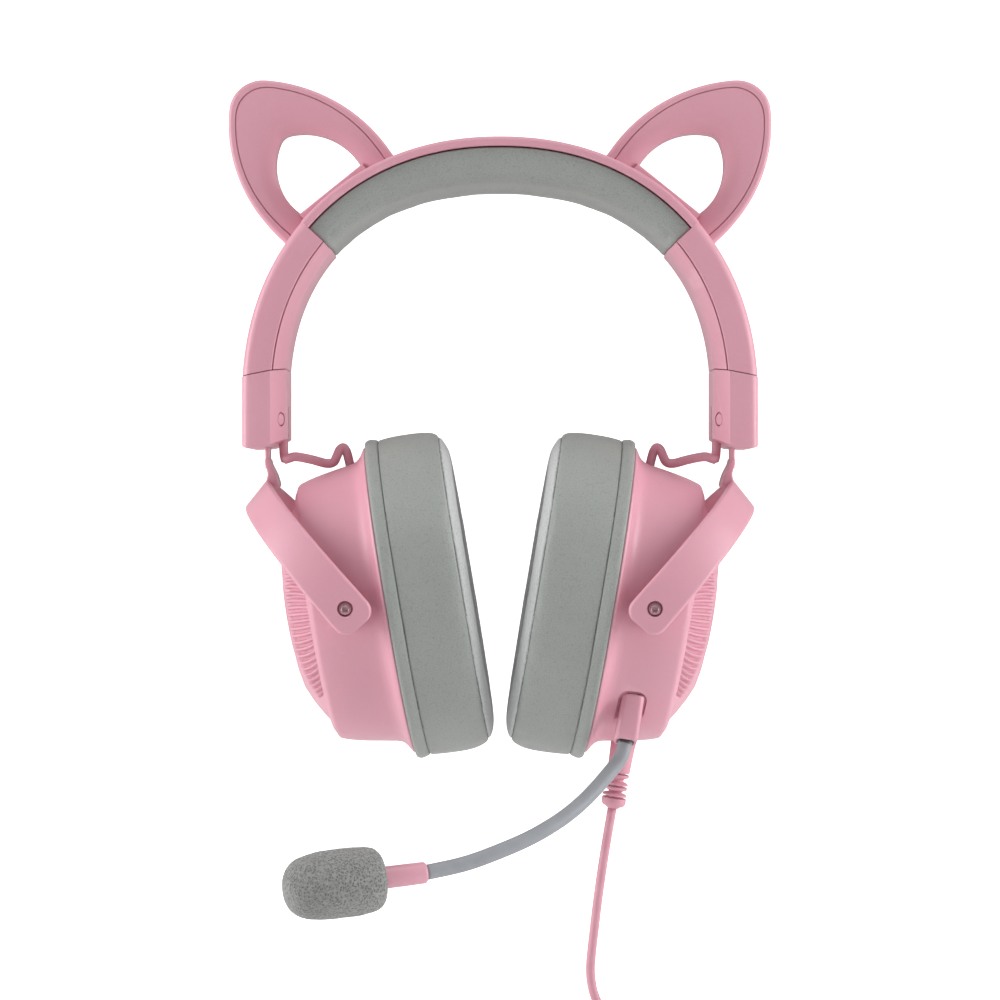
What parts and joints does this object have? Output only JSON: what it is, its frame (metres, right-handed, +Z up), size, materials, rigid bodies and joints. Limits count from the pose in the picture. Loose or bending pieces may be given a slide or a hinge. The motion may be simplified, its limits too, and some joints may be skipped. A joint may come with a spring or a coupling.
{
  "type": "gaming headset",
  "caption": "Over-ear wired headset with a padded headband, cat ears, sliding yokes, tilting padded cups, an unpluggable boom microphone and a USB cable.",
  "frame": {"origin": "underside of the head pad, at the middle of the crown", "axes": "+X to the wearer's left, +Y to the back of the head, +Z up"},
  "size_m": [0.1756, 0.1348, 0.3785],
  "materials": {
    "pink_shell": "fine moulded texture, satin",
    "deep_pink_plastic": "moulded, satin",
    "grey_leatherette": "soft matt leatherette",
    "light_fabric": "knitted",
    "windscreen_foam": "open-cell foam",
    "boom_rubber": "smooth matt sleeve",
    "pink_cord": "smooth matt jacket",
    "spring_steel": "brushed",
    "screw_steel": "turned",
    "plug_steel": "nickel plated",
    "board": "solder mask",
    "basket_plastic": "moulded",
    "cone_film": "thin film"
  },
  "bodies": {
    "headband": {"headband_shell": "pink_shell", "arm_cover_left": "pink_shell", "arm_cover_right": "pink_shell", "head_pad": "grey_leatherette", "pad_base": "deep_pink_plastic", "spring_band": "spring_steel", "bridge_cable": "pink_cord", "end_cap_left": "pink_shell", "end_cap_right": "pink_shell", "end_cap_plugs": "pink_shell", "ear_screws": "screw_steel", "ear_frame_left": "pink_shell", "ear_frame_right": "pink_shell", "ear_cover_left": "pink_shell", "ear_cover_right": "pink_shell"},
    "yoke_left": {"slider_strip_left": "pink_shell", "yoke_left": "pink_shell", "lead_left": "pink_cord"},
    "cup_left": {"cup_housing_left": "pink_shell", "grille_left": "pink_shell", "cover_disc_left": "pink_shell", "baffle_left": "deep_pink_plastic", "driver_basket_left": "basket_plastic", "driver_magnet_left": "screw_steel", "driver_cone_left": "cone_film", "cushion_ring_left": "deep_pink_plastic", "cushion_left": "grey_leatherette", "speaker_cloth_left": "light_fabric", "pivot_screws_left": "screw_steel", "housing_screws_left": "screw_steel", "circuit_board": "board", "mic_socket": "deep_pink_plastic", "cable_boot": "pink_cord", "cable": "pink_cord", "cable_coil": "pink_cord", "cable_tie": "deep_pink_plastic", "usb_grip": "pink_cord", "usb_shell": "plug_steel"},
    "yoke_right": {"slider_strip_right": "pink_shell", "yoke_right": "pink_shell", "lead_right": "pink_cord"},
    "cup_right": {"cup_housing_right": "pink_shell", "grille_right": "pink_shell", "cover_disc_right": "pink_shell", "baffle_right": "deep_pink_plastic", "driver_basket_right": "basket_plastic", "driver_magnet_right": "screw_steel", "driver_cone_right": "cone_film", "cushion_ring_right": "deep_pink_plastic", "cushion_right": "grey_leatherette", "speaker_cloth_right": "light_fabric", "pivot_screws_right": "screw_steel", "housing_screws_right": "screw_steel"},
    "mic": {"mic_plug": "pink_shell", "mic_boom": "boom_rubber", "mic_collar": "pink_shell", "mic_capsule": "screw_steel", "mic_windscreen": "windscreen_foam"},
    "volume_wheel": {"volume_wheel": "deep_pink_plastic"},
    "mute_button": {"mute_button": "deep_pink_plastic"}
  },
  "joints": [
    {"name": "slider_left", "type": "slide", "parent": "headband", "child": "yoke_left", "axis": [0, 0, -1], "range_m": [0, 0.025], "deforming": ["lead_left"]},
    {"name": "slider_right", "type": "slide", "parent": "headband", "child": "yoke_right", "axis": [0, 0, -1], "range_m": [0, 0.025], "deforming": ["lead_right"]},
    {"name": "cup_tilt_left", "type": "hinge", "parent": "yoke_left", "child": "cup_left", "pos_m": [0.0474, 0, -0.1336], "axis": [0, -1, 0], "range_deg": [0, 20]},
    {"name": "cup_tilt_right", "type": "hinge", "parent": "yoke_right", "child": "cup_right", "pos_m": [-0.0474, 0, -0.1336], "axis": [0, 1, 0], "range_deg": [0, 20]},
    {"name": "mic_unplug", "type": "slide", "parent": "cup_left", "child": "mic", "axis": [-0.165, 0, -0.9863], "range_m": [0, 0.02]},
    {"name": "volume_dial", "type": "hinge", "parent": "cup_left", "child": "volume_wheel", "pos_m": [0.04352, 0.0277, -0.15678], "axis": [0.9863, 0, -0.165], "range_deg": [-135, 135]},
    {"name": "mute_press", "type": "slide", "parent": "cup_left", "child": "mute_button", "axis": [0, -1, 0], "range_m": [0, 0.001], "stiffness_N_per_m": 400}
  ]
}
